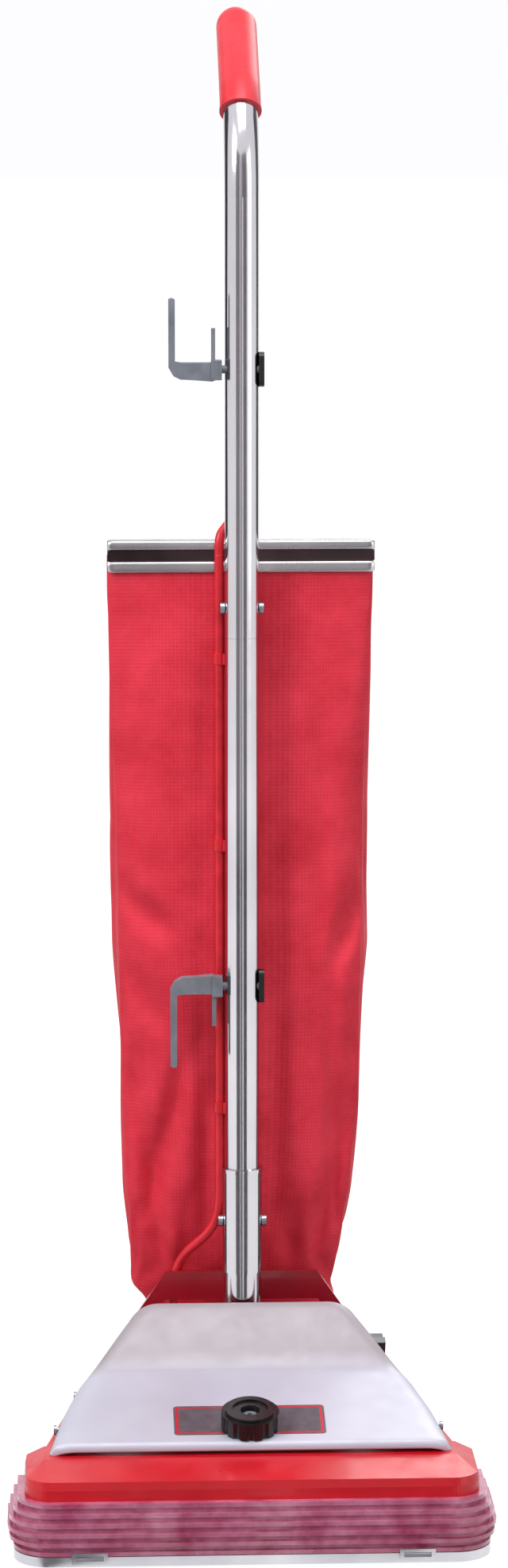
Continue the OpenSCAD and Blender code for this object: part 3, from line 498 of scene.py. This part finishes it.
def build_lead(tool):
    path = smooth_line([at(*p) for p in LEAD_ROUTE], 260)
    material = bpy.data.materials["Vinyl.LeadRed"]
    made = tube("switch_lead_cord", path, tool.lead_radius, 16, material, "lead_red")
    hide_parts("switch_lead")
    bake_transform(made)


# Arches of the hood from front to back: y, height of the top, half width of the top and of the foot
HOOD_SECTIONS = [
    (-163, 78.4, 133, 144.5), (-110, 89.2, 124, 138.5), (-69, 97.6, 113, 131.5), (-61, 99.8, 109, 129.8),
    (-55, 103.4, 103.5, 128.3), (-46, 114.4, 93, 126.5), (-36, 124.2, 84, 124), (-28, 132, 76.5, 122.4),
    (-22, 137.5, 71, 121), (-18, 139.8, 68, 120),
]  # fmt: skip
HOOD_FOOT = 70.2
HOOD_SHEET = 1.0 * MM


def hood_row(y, top, flat, foot, inset=0.0):
    """Half of one arch of the hood, from its middle out over a rolled edge and down to its foot."""
    flat, foot, top = flat - inset, foot - inset, top - inset
    row = [Vector((flat * k / 14, y, top)) for k in range(14)]
    corner, end = Vector((flat + 7, y, top)), Vector((foot, y, HOOD_FOOT))
    roll = min(0.55, 15 / (end - corner).length)
    low = corner.lerp(end, roll)
    start = Vector((flat - 6, y, top))
    row[-1] = Vector((flat - 10, y, top))
    for k in range(11):
        u = k / 10
        row.append((1 - u) ** 2 * start + 2 * u * (1 - u) * corner + u * u * low)
    row += [low.lerp(end, k / 7) for k in range(1, 8)]
    return row


def build_hood(tool):
    """The pressed hood: one sheet with rolled edges, a soft fold below the motor and a turned-down front lip."""
    ys = [s[0] for s in HOOD_SECTIONS]
    rows = []
    for y in [-162.6, -161, -158] + list(np.linspace(-152, -76, 14)) + list(np.linspace(-72, -18, 34)):
        spread = 4.5 if y > -76 else 1.0
        near = [y - spread, y, y + spread]
        values = [
            float(np.mean([np.interp(max(-163, min(-18, n)), ys, [s[k] for s in HOOD_SECTIONS]) for n in near]))
            for k in (1, 2, 3)
        ]
        rows.append(hood_row(y, *values))
    first = rows[0]
    lip = []
    for ahead, drop, narrow in ((-3.2, 5.6, 1.4), (-3.4, 3.6, 1.0), (-2.9, 1.8, 0.5), (-1.4, 0.4, 0.15)):
        lip.append(
            [
                Vector((p.x * (1 - narrow / 140), p.y + ahead * min(1, (145 - p.x) / 9), max(HOOD_FOOT, p.z - drop)))
                for p in first
            ]
        )
    rows = lip + rows
    columns = len(rows[0]) * 2 - 1
    points = []
    for row in rows:
        points += [at(-p.x, p.y, p.z) for p in reversed(row[1:])] + [at(p.x, p.y, p.z) for p in row]
    faces = [tuple(reversed(f)) for f in grid_faces(len(rows), columns, False)]
    made = mesh_object("hood_sheet", points, faces, bpy.data.materials["Chrome.PressedSheet"])
    add_modifier(made, "SUBSURF", levels=1, render_levels=1)
    add_modifier(made, "SOLIDIFY", thickness=HOOD_SHEET, offset=-1)
    apply_modifiers(made)
    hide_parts("hood")
    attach(made, "base")


# Section of the clamp, (y, z) in millimetres, round its front from the top; the groove's points are marked, and the
# faces between marked points take a dark finish that is painted shade
CLAMP_FRONT = [
    (24.2, 710.2, 0), (23.4, 711, 0), (16, 711, 0), (14.6, 710.6, 0), (13.7, 709.6, 0), (13.4, 708, 0),
    (13.45, 706.2, 0),
    (13.9, 705, 0), (14.7, 704.2, 1), (15, 702, 1), (15.05, 699, 1), (15, 696.4, 1), (14.6, 695, 1), (13.8, 694.2, 0),
    (13.42, 693, 0), (13.4, 690.6, 0), (13.5, 688.6, 0), (14.2, 687.2, 0), (15, 687, 0), (15.4, 687.8, 0),
    (15.4, 703.6, 0), (22.4, 703.6, 0), (22.4, 687.8, 0), (23, 687, 0), (24, 687.4, 0), (24.5, 689, 0),
    (24.6, 708.5, 0),
]  # fmt: skip


def build_clamp(tool):
    """The channel that closes the bag: rolled from strip, with a groove along its front darkened as painted shade, and
    a bead below.
    """
    half = tool.clamp_half / MM
    stations = [-half, -half + 0.5, -half + 1.6, -half + 3.2]
    stations += list(np.linspace(-half + 6, half - 6, 40)) + [-s for s in reversed(stations)]
    count = len(CLAMP_FRONT)
    points, faces = [], []
    for x in stations:
        end = half - abs(x)
        pinch = 1.4 * (1 - min(1.0, end / 3.2)) ** 2
        for y, z, _ in CLAMP_FRONT:
            lift = pinch if z < 694 else -0.6 * pinch if z > 704 else 0
            points.append(at(x, y + (pinch if y < 15 else 0), z + lift))
    faces = grid_faces(len(stations), count, True)
    faces.append(tuple(reversed(range(count))))
    faces.append(tuple(range((len(stations) - 1) * count, len(stations) * count)))
    made = mesh_object("bag_clamp_channel", points, faces, bpy.data.materials["Steel.RolledChannel"])
    made.data.materials.append(bpy.data.materials["Steel.ChannelGroovePaintedShade"])
    # the groove's faces take the painted shade
    for i, poly in enumerate(made.data.polygons[: (len(stations) - 1) * count]):
        k = i % count
        if CLAMP_FRONT[k][2] and CLAMP_FRONT[(k + 1) % count][2]:
            poly.material_index = 1
    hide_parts("bag_clamp")
    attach(made, "clamp")


# The bag: height, half width, front and back, in millimetres
BAG_SECTIONS = [
    (124, 74, 46, 84), (150, 78, 38, 92), (180, 82, 30, 97), (212, 87, 24, 102),
    (273, 91, 19, 108), (394, 96, 16, 110), (516, 98, 15.5, 92), (600, 98, 15.5, 62),
    (660, 98.5, 15.5, 33), (685, 98.5, 15.8, 22.5), (703, 98.5, 16, 21),
]  # fmt: skip
PORT_X = 26  # the exhaust port, to the right of the handle tube
PORT_DIP = math.radians(30)
BAG_COLUMNS = 96
NECK_RINGS = 21  # rings below the bag's body: the bend out of the port and the widening above it
CLOTH_FRAMES = 18
CLOTH_SHEET = 0.8 * MM
LOOSE = 5 * MM  # the furthest the cloth may settle


def bag_rings(columns):
    """Rings of points from the exhaust port up to the clamp."""
    rings = []
    for turn in np.linspace(0, 120, 13):
        lean = math.pi / 2 - PORT_DIP + math.radians(turn)
        bend = 22
        cy = -14 + 53 * math.cos(PORT_DIP) + bend * math.sin(PORT_DIP) - bend * math.cos(lean)
        cz = 84 - 53 * math.sin(PORT_DIP) + bend * math.cos(PORT_DIP) - bend * math.sin(lean)
        rings.append((PORT_X, cy, cz, 14.5, 18.5, lean))
    top = rings[-1]
    for rise in np.linspace(0.12, 1, 8):
        s = rise * (2 - rise) * 0.6 + rise * rise * (3 - 2 * rise) * 0.4
        rings.append(
            (
                PORT_X * (1 - s),
                top[1] * (1 - s) + 65 * s,
                top[2] + (124 - top[2]) * rise,
                14.5 + 59 * s,
                18.5,
                math.pi,
            )
        )
    zs = [s[0] for s in BAG_SECTIONS]
    for z in np.linspace(132, 700, 88):
        half, front, back = (float(np.interp(z, zs, [s[k] for s in BAG_SECTIONS])) for k in (1, 2, 3))
        rings.append((0, (front + back) / 2, float(z), half, (back - front) / 2, math.pi))
    points = []
    for x, y, z, half, depth, lean in rings:
        for k in range(columns):
            a = 2 * math.pi * k / columns
            u = math.copysign(abs(math.cos(a)) ** 0.6, math.cos(a))
            v = -math.copysign(abs(math.sin(a)) ** 0.7, math.sin(a))
            points.append(at(x + half * u, y + depth * v * math.cos(lean), z + depth * v * math.sin(lean)))
    return points, len(rings)


# Folds of the bag's front: ends of the crease (across, height), depth and half width, in millimetres
BAG_FOLDS = [
    ((-24, 640), (-27, 150), 5.0, 7.0), ((22, 650), (27, 150), 4.5, 8.0), ((-96, 452), (-34, 405), 4.5, 9.0),
    ((-88, 392), (-48, 330), 3.5, 8.0), ((-34, 350), (-74, 190), 5.0, 9.0), ((-84, 330), (-56, 140), 4.5, 8.0),
    ((98, 470), (62, 372), 5.0, 8.0), ((92, 372), (70, 250), 4.0, 9.0), ((88, 300), (50, 138), 5.5, 9.0),
    ((44, 230), (36, 132), 4.5, 6.0), ((-44, 240), (-40, 134), 4.5, 6.0), ((58, 610), (70, 500), 2.0, 12.0),
    ((-70, 640), (-60, 520), 2.0, 12.0), ((6, 210), (10, 132), 4.0, 7.0), ((-66, 180), (-20, 126), 3.5, 6.0),
]  # fmt: skip
# How much further out the bag's left and right edges stand: (height, millimetres)
BAG_LEFT = [(118, 8.8), (155, 5.6), (237, 2.8), (319, 0.6), (400, 1.6), (514, 0), (672, 0)]
BAG_RIGHT = [(118, -7), (155, -2.6), (237, 0.4), (319, 2.6), (400, 3.6), (440, 0.5), (514, -3.6), (672, -1.4)]


FOLD_GAIN = 1.7  # depth of a fold's valley
RIDGE_GAIN = 0.5  # height of the ridges beside it


def fold_depth(x, z, side):
    """How far the cloth stands back at a place on its front (side -1) or its back (side 1)."""
    depth = 0.0
    for (x0, z0), (x1, z1), deep, half in BAG_FOLDS:
        if side > 0:
            x0, x1 = -x0 * 0.9 + 6, -x1 * 0.9 - 4
        length = math.hypot(x1 - x0, z1 - z0)
        along = ((x - x0) * (x1 - x0) + (z - z0) * (z1 - z0)) / length
        across = ((x - x0) * (z1 - z0) - (z - z0) * (x1 - x0)) / length
        ends = min(1.0, max(0.0, along / 45 + 0.15), max(0.0, (length - along) / 45 + 0.15))
        depth += FOLD_GAIN * deep * ends * math.exp(-((across / half) ** 2))
        depth -= RIDGE_GAIN * deep * ends * math.exp(-(((abs(across) - 2.1 * half) / half) ** 2))
    wave = math.sin(x / 17 + z / 61) + math.sin(z / 23 - x / 41 + 1.3) * 0.8 + math.sin(z / 9.5 + x / 13) * 0.25
    return depth + 0.8 * wave


def settle(made, pinned, cap):
    """Lets the cloth swell and drop into its folds; returns its points, none moved further than cap."""
    group = made.vertex_groups.new(name="held")
    for index, weight in pinned.items():
        group.add([index], weight, "REPLACE")
    before = np.array([v.co for v in made.data.vertices])
    cloth = made.modifiers.new("Cloth", "CLOTH")
    cloth.settings.quality = 6
    cloth.settings.mass = 0.12
    cloth.settings.tension_stiffness = cloth.settings.compression_stiffness = 18
    cloth.settings.shear_stiffness = 8
    cloth.settings.bending_stiffness = 0.35
    cloth.settings.vertex_group_mass = "held"
    cloth.settings.use_pressure = True
    cloth.settings.uniform_pressure_force = 0.35
    cloth.settings.effector_weights.gravity = 0.35
    cloth.collision_settings.use_collision = False
    cloth.point_cache.frame_start, cloth.point_cache.frame_end = 1, CLOTH_FRAMES
    scene = bpy.context.scene
    for frame_number in range(1, CLOTH_FRAMES + 1):
        scene.frame_set(frame_number)
    apply_modifiers(made)
    scene.frame_set(1)
    after = np.array([v.co for v in made.data.vertices])
    move = after - before
    length = np.linalg.norm(move, axis=1, keepdims=True)
    after = before + move * np.minimum(1.0, cap / np.maximum(length, 1e-9))
    made.vertex_groups.clear()
    return after


def build_bag(tool):
    """The bag: a sewn tube of cloth from the exhaust port to its clamp, with side seams."""
    columns = BAG_COLUMNS
    points, rows = bag_rings(columns)
    zs = [s[0] for s in BAG_SECTIONS]
    shaped = []
    for i, p in enumerate(points):
        x, y, z = p.x / MM, (p.y - AXIS_Y) / MM, p.z / MM
        row = i // columns
        if row >= NECK_RINGS:
            half, front, back = (float(np.interp(z, zs, [s[k] for s in BAG_SECTIONS])) for k in (1, 2, 3))
            side = BAG_LEFT if x < 0 else BAG_RIGHT
            fade = min(1.0, (z - 124) / 30)
            x *= 1 + float(np.interp(z, [s[0] for s in side], [s[1] for s in side])) / half
            middle_y = (front + back) / 2
            flatness = min(1.0, abs(y - middle_y) / max(1.0, (back - front) / 2))
            way = 1 if y < middle_y else -1
            room = max(0.0, min(1.0, (698 - z) / 60)) * fade * flatness
            y += way * room * max(-1.2 if way > 0 else -3.0, fold_depth(x, z, -way)) * min(1.0, (back - front) / 60)
        shaped.append(at(x, y, z))
    material = woven_cloth("Nylon.WovenRed", tool.bag_deep, tool.bag_bright)
    made = mesh_object("bag_cloth", shaped, grid_faces(rows, columns, True), material)
    layer = made.data.uv_layers.new(name="cloth")
    for poly in made.data.polygons:
        loops = list(poly.loop_indices)
        wraps = any(made.data.loops[k].vertex_index % columns == columns - 1 for k in loops)
        for loop in loops:
            row, column = divmod(made.data.loops[loop].vertex_index, columns)
            if column == 0 and wraps:
                column = columns
            layer.data[loop].uv = (column * 0.5 / columns, row * 0.0065)
    pinned = {}
    for i in range(len(points)):
        row = i // columns
        pinned[i] = 1.0 if row < 16 or row > rows - 5 else max(0.0, 1 - (row - 16) / 8)
    after = settle(made, pinned, LOOSE)
    low = [at(0, 14.9, 0).y, at(0, 15.4, 0).y]
    for v, p in zip(made.data.vertices, after):
        if v.co.z > 0.15:
            p[1] = max(p[1], low[0])
        v.co = p
    # sewn seams down both sides
    for i, v in enumerate(made.data.vertices):
        row, column = divmod(i, columns)
        if row >= 22:
            if column in (0, columns // 2):
                v.co.x += (1 if column == 0 else -1) * 0.9 * MM
            elif column in (1, columns - 1, columns // 2 - 1, columns // 2 + 1):
                v.co.x -= (1 if abs(column - columns / 2) > columns / 4 else -1) * 0.5 * MM
    made.data.update()
    add_modifier(made, "SUBSURF", levels=1, render_levels=1)
    add_modifier(made, "SOLIDIFY", thickness=CLOTH_SHEET, offset=-1)
    apply_modifiers(made)
    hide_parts("bag", "bag_neck")
    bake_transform(made)


# Felt flags: name, turn from the front and half spread in degrees, distance in metres, glow
FLAGS = [
    ("flag_left", -29, 13, 2.6, 0.3),
    ("flag_right", 19, 12, 2.6, 0.24),
    ("flag_middle", -6, 7, 2.7, 0.5),
    ("flag_left_back", -128, 18, 3.0, 0.05),
    ("flag_right_back", 122, 15, 3.0, 0.12),
]

# Lights: name, place, what it is aimed at, size in metres, power in watts
LIGHTS = [
    ("key", (-2.6, -1.7, 2.7), (0, 0, 0.5), (1.2, 1.6), 78),
    ("fill", (2.6, -2.0, 1.4), (0, 0, 0.5), (1.2, 2.4), 18),
    ("top", (0.1, -0.7, 3.0), (0, 0, 0.1), (1.6, 1.2), 32),
    ("back", (1.2, 2.8, 2.4), (0, 0, 0.6), (2.0, 1.4), 40),
]
FLOOR_RADIUS = 25
FLOOR_SIDES = 96


def seen_or_lit(tree, lit, seen):
    """A strength that is seen by the camera and in bright metal, and another for the light it throws."""
    path = add(tree, "ShaderNodeLightPath").outputs
    either = add(
        tree, "ShaderNodeMath", {0: path["Is Camera Ray"], 1: path["Is Glossy Ray"]}, operation="MAXIMUM"
    ).outputs[0]
    return add(tree, "ShaderNodeMapRange", {"Value": either, "To Min": lit, "To Max": seen}).outputs["Result"]


def build_stage(tool):
    scene = bpy.context.scene
    floor = bpy.data.meshes.new("floor")
    turns = np.linspace(0, 2 * math.pi, FLOOR_SIDES + 1)[:-1]
    ring = [(FLOOR_RADIUS * math.cos(a), FLOOR_RADIUS * math.sin(a), 0) for a in turns]
    floor.from_pydata(ring, [], [tuple(range(FLOOR_SIDES))])
    ground = bpy.data.objects.new("floor", floor)
    scene.collection.objects.link(ground)
    paper = bpy.data.materials.new("Paper.Floor")
    paper.use_nodes = True
    shader = paper.node_tree.nodes["Principled BSDF"]
    for key, value in (("Base Color", linear("#808080")), ("Roughness", 0.9), ("Emission Color", linear("#ffffff"))):
        shader.inputs[key].default_value = value
    paper.node_tree.links.new(seen_or_lit(paper.node_tree, tool.floor_glow, 0.88), shader.inputs["Emission Strength"])
    floor.materials.append(paper)
    world = bpy.data.worlds.new("Studio")
    world.use_nodes = True
    scene.world = world
    tree = world.node_tree
    back = tree.nodes["Background"]
    back.inputs["Color"].default_value = linear("#fbfbfd")
    tree.links.new(seen_or_lit(tree, tool.room_light, 1.02), back.inputs["Strength"])
    # Felt flags that only bright metal sees, as dark streaks: a strip on the floor and a stand beyond it
    for name, turn, spread, far, glow in FLAGS:
        a, half = math.radians(turn), far * math.tan(math.radians(spread))
        out, across = Vector((math.sin(a), -math.cos(a), 0)), Vector((math.cos(a), math.sin(a), 0))
        felts = []
        for part, light in (("floor", glow * 0.35), ("stand", glow)):
            felt = bpy.data.materials.new("Felt." + name + "_" + part)
            felt.use_nodes = True
            inputs = felt.node_tree.nodes["Principled BSDF"].inputs
            inputs["Base Color"].default_value = linear("#141215")
            inputs["Roughness"].default_value = 1.0
            inputs["Emission Color"].default_value = linear("#f4ecf2")
            inputs["Emission Strength"].default_value = light
            felts.append(felt)
        near, up = 0.22 / far, Vector((0, 0, 2.6))
        corners = [
            out * far * near - across * half * near, out * far * near + across * half * near,
            out * far + across * half, out * far - across * half,
            out * far + across * half + up, out * far - across * half + up,
        ]  # fmt: skip
        data = bpy.data.meshes.new(name)
        data.from_pydata([(c.x, c.y, c.z + 0.002) for c in corners], [], [(0, 1, 2, 3), (3, 2, 4, 5)])
        for felt in felts:
            data.materials.append(felt)
        data.polygons[1].material_index = 1
        flag = bpy.data.objects.new(name, data)
        scene.collection.objects.link(flag)
        flag.visible_camera = flag.visible_diffuse = flag.visible_shadow = False
        flag.visible_transmission = flag.visible_volume_scatter = False
    for name, place_, aim, size, power in LIGHTS:
        light = bpy.data.lights.new(name, "AREA")
        light.shape, light.size, light.size_y, light.energy = "RECTANGLE", size[0], size[1], power
        lamp = bpy.data.objects.new(name, light)
        scene.collection.objects.link(lamp)
        lamp.location = place_
        lamp.rotation_euler = (Vector(aim) - Vector(place_)).to_track_quat("-Z", "Y").to_euler()
    camera = bpy.data.cameras.new("camera")
    camera.sensor_width, camera.lens = 36.0, tool.lens
    eye = bpy.data.objects.new("camera", camera)
    scene.collection.objects.link(eye)
    yaw, dip = tool.camera_yaw, tool.camera_dip
    side, far = tool.camera_side, tool.camera_distance
    eye.location = Vector((TUBE.x, AXIS_Y, 0)) + Vector(
        (-far * math.sin(side), -far * math.cos(side), tool.camera_height)
    )
    look = Vector((math.sin(yaw) * math.cos(dip), math.cos(yaw) * math.cos(dip), -math.sin(dip)))
    eye.rotation_euler = look.to_track_quat("-Z", "Y").to_euler()
    scene.camera = eye
    scene.view_settings.view_transform = "Standard"


# ---------------------------------------------------------------- add-on


class VacuumSizes(bpy.types.PropertyGroup):
    """Sizes and colours of the lead, the clamp and the bag."""

    lead_radius: FloatProperty(
        name="Lead radius", description="Radius of the switch lead", default=3.5 * MM, min=0.001, unit="LENGTH"
    )
    clamp_half: FloatProperty(
        name="Clamp half", description="Half length of the bag clamp", default=98.5 * MM, min=0.01, unit="LENGTH"
    )
    bag_deep: StringProperty(name="Bag, deep", description="sRGB hex of the bag's deeper dye", default="#de1c36")
    bag_bright: StringProperty(name="Bag, bright", description="sRGB hex of the bag's brighter dye", default="#fc3850")


class VacuumStage(bpy.types.PropertyGroup):
    """Camera and light."""

    lens: FloatProperty(name="Lens", description="Focal length in millimetres on a 36 mm frame", default=104.0)
    camera_distance: FloatProperty(
        name="Distance", description="From the camera to the handle tube", default=3.3, unit="LENGTH"
    )
    camera_height: FloatProperty(name="Height", description="Camera height", default=1.105, unit="LENGTH")
    camera_side: FloatProperty(
        name="Side",
        description="Angle of the camera's place round the tube",
        default=math.radians(2.2),
        unit="ROTATION",
    )
    camera_yaw: FloatProperty(
        name="Yaw",
        description="Way the camera looks, to the right of straight back",
        default=math.radians(2.354),
        unit="ROTATION",
    )
    camera_dip: FloatProperty(
        name="Dip", description="Angle the camera looks down", default=math.radians(9.861), unit="ROTATION"
    )
    room_light: FloatProperty(name="Room light", description="Strength of the light from all round", default=0.55)
    floor_glow: FloatProperty(name="Floor glow", description="Light the white floor gives back evenly", default=0.0)


class VACUUM_OT_finishes(bpy.types.Operator):
    """Gives every CAD node its finish."""

    bl_idname = "vacuum.finishes"
    bl_label = "Finishes"

    def execute(self, context):
        build_finishes(context.scene.vacuum_sizes)
        return {"FINISHED"}


class VACUUM_OT_hood(bpy.types.Operator):
    """Presses the bright hood over the motor."""

    bl_idname = "vacuum.hood"
    bl_label = "Hood"

    def execute(self, context):
        build_hood(context.scene.vacuum_sizes)
        return {"FINISHED"}


class VACUUM_OT_lead(bpy.types.Operator):
    """Lays the lead from the motor to the switch."""

    bl_idname = "vacuum.lead"
    bl_label = "Switch lead"

    def execute(self, context):
        build_lead(context.scene.vacuum_sizes)
        return {"FINISHED"}


class VACUUM_OT_clamp(bpy.types.Operator):
    """Rolls the channel that closes the bag."""

    bl_idname = "vacuum.clamp"
    bl_label = "Bag clamp"

    def execute(self, context):
        build_clamp(context.scene.vacuum_sizes)
        return {"FINISHED"}


class VACUUM_OT_bag(bpy.types.Operator):
    """Hangs the cloth bag between the exhaust and its clamp."""

    bl_idname = "vacuum.bag"
    bl_label = "Bag"

    def execute(self, context):
        build_bag(context.scene.vacuum_sizes)
        return {"FINISHED"}


class VACUUM_OT_stage(bpy.types.Operator):
    """Sets the floor, the lights and the camera."""

    bl_idname = "vacuum.stage"
    bl_label = "Stage"

    def execute(self, context):
        build_stage(context.scene.vacuum_stage)
        return {"FINISHED"}


# in the order in which they run: the finishes make the materials that the rest use
OPERATORS = [
    VACUUM_OT_finishes,
    VACUUM_OT_hood,
    VACUUM_OT_lead,
    VACUUM_OT_clamp,
    VACUUM_OT_bag,
    VACUUM_OT_stage,
]


class VACUUM_PT_panel(bpy.types.Panel):
    """Lists the pieces in the sidebar."""

    bl_label = "Vacuum Cleaner"
    bl_space_type = "VIEW_3D"
    bl_region_type = "UI"
    bl_category = "Vacuum"

    def draw(self, context):
        for one in OPERATORS:
            self.layout.operator(one.bl_idname)


CLASSES = [VacuumSizes, VacuumStage, *OPERATORS, VACUUM_PT_panel]


def register():
    for one in CLASSES:
        bpy.utils.register_class(one)
    bpy.types.Scene.vacuum_sizes = PointerProperty(type=VacuumSizes)
    bpy.types.Scene.vacuum_stage = PointerProperty(type=VacuumStage)


def unregister():
    del bpy.types.Scene.vacuum_stage, bpy.types.Scene.vacuum_sizes
    for one in reversed(CLASSES):
        bpy.utils.unregister_class(one)


def main():
    register()
    for one in OPERATORS:
        group, name = one.bl_idname.split(".")
        getattr(getattr(bpy.ops, group), name)()


if __name__ == "__main__":
    main()
